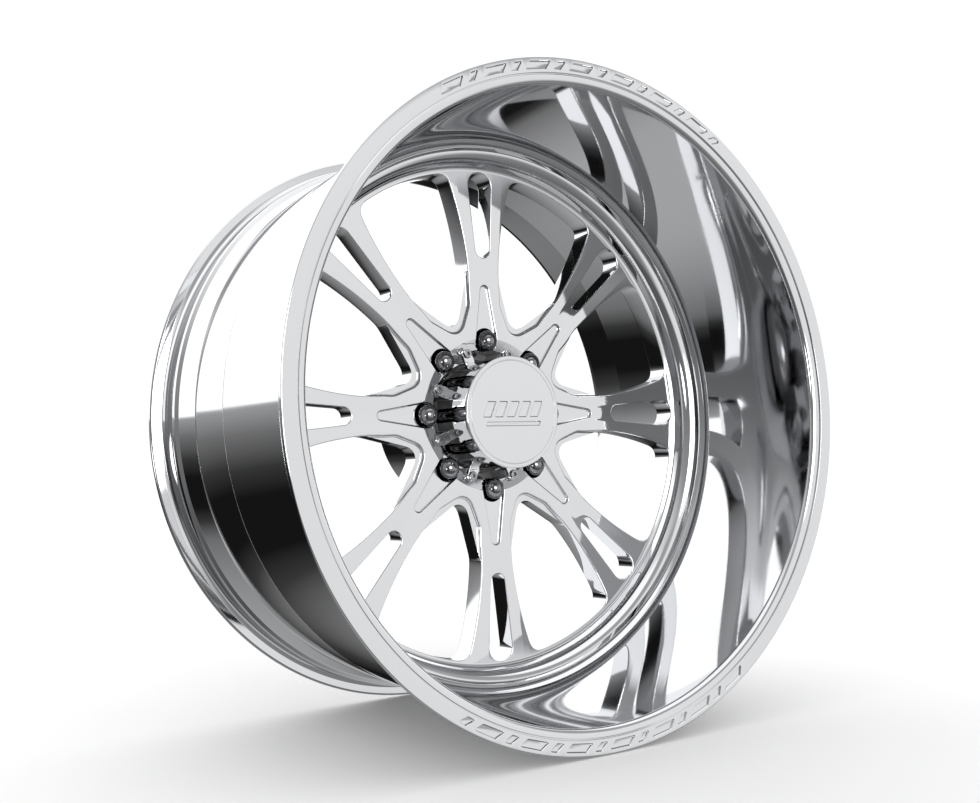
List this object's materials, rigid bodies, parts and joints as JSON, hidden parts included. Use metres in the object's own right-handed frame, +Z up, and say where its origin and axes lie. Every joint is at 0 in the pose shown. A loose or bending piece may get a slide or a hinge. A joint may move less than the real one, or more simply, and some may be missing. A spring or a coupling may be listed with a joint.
{
  "type": "deep-dish vehicle wheel rim",
  "caption": "Deep-lip forged light-truck wheel rim with split spokes, a bolted centre cap, bullet lug nuts and a clamp-in tyre valve.",
  "frame": {"origin": "centre of the hub mounting pad, where the wheel's axis meets the face that bolts to the hub", "axes": "+Y along the wheel's axis towards the vehicle (the street side with the deep lip faces -Y), +Z up, +X to the right seen from the street side"},
  "size_m": [0.6954, 0.3681, 0.6954],
  "materials": {
    "polished_rim": "mirror polished, with faint turning lines",
    "polished_centre": "mirror polished face, fine machined window walls",
    "weld": "satin, rippled",
    "polished_cap": "mirror polished",
    "gasket": "matt black",
    "screw_steel": "dark zinc",
    "black_chrome": "dark mirror",
    "valve_metal": "bright plated",
    "valve_rubber": "matt black",
    "valve_brass": "turned",
    "valve_plastic": "fine grain"
  },
  "bodies": {
    "wheel": {"outer_barrel": "polished_rim", "inner_barrel": "polished_rim", "girth_weld": "weld", "centre_disc": "polished_centre", "front_weld": "weld", "rear_weld": "weld", "valve_stem": "valve_metal", "valve_grommet": "valve_rubber", "valve_washer": "valve_metal", "valve_nut": "valve_metal", "valve_core": "valve_brass"},
    "centre_cap": {"cap_shell": "polished_cap", "cap_face": "polished_cap", "cap_gasket": "gasket", "cap_screw_1": "screw_steel", "cap_screw_2": "screw_steel", "cap_screw_3": "screw_steel", "cap_screw_4": "screw_steel", "cap_screw_5": "screw_steel", "cap_screw_6": "screw_steel", "cap_screw_7": "screw_steel", "cap_screw_8": "screw_steel"},
    "nut_1": {"lug_nut_1": "black_chrome"},
    "nut_2": {"lug_nut_2": "black_chrome"},
    "nut_3": {"lug_nut_3": "black_chrome"},
    "nut_4": {"lug_nut_4": "black_chrome"},
    "nut_5": {"lug_nut_5": "black_chrome"},
    "nut_6": {"lug_nut_6": "black_chrome"},
    "nut_7": {"lug_nut_7": "black_chrome"},
    "nut_8": {"lug_nut_8": "black_chrome"},
    "pin": {"valve_pin": "valve_brass"},
    "dust_cap": {"valve_cap": "valve_plastic", "valve_cap_seal": "valve_rubber"}
  },
  "joints": [
    {"name": "centre_cap_lift", "type": "slide", "parent": "wheel", "child": "centre_cap", "axis": [0, -1, 0], "range_m": [0, 0.21]},
    {"name": "nut_1_unscrew", "type": "slide", "parent": "wheel", "child": "nut_1", "axis": [0, -1, 0], "range_m": [0, 0.25]},
    {"name": "nut_2_unscrew", "type": "slide", "parent": "wheel", "child": "nut_2", "axis": [0, -1, 0], "range_m": [0, 0.25]},
    {"name": "nut_3_unscrew", "type": "slide", "parent": "wheel", "child": "nut_3", "axis": [0, -1, 0], "range_m": [0, 0.25]},
    {"name": "nut_4_unscrew", "type": "slide", "parent": "wheel", "child": "nut_4", "axis": [0, -1, 0], "range_m": [0, 0.25]},
    {"name": "nut_5_unscrew", "type": "slide", "parent": "wheel", "child": "nut_5", "axis": [0, -1, 0], "range_m": [0, 0.25]},
    {"name": "nut_6_unscrew", "type": "slide", "parent": "wheel", "child": "nut_6", "axis": [0, -1, 0], "range_m": [0, 0.25]},
    {"name": "nut_7_unscrew", "type": "slide", "parent": "wheel", "child": "nut_7", "axis": [0, -1, 0], "range_m": [0, 0.25]},
    {"name": "nut_8_unscrew", "type": "slide", "parent": "wheel", "child": "nut_8", "axis": [0, -1, 0], "range_m": [0, 0.25]},
    {"name": "valve_pin_press", "type": "slide", "parent": "wheel", "child": "pin", "axis": [0, 0, 1], "range_m": [0, 0.001], "stiffness_N_per_m": 500},
    {"name": "valve_cap_pull", "type": "slide", "parent": "wheel", "child": "dust_cap", "axis": [0, 0, -1], "range_m": [0, 0.03]}
  ]
}
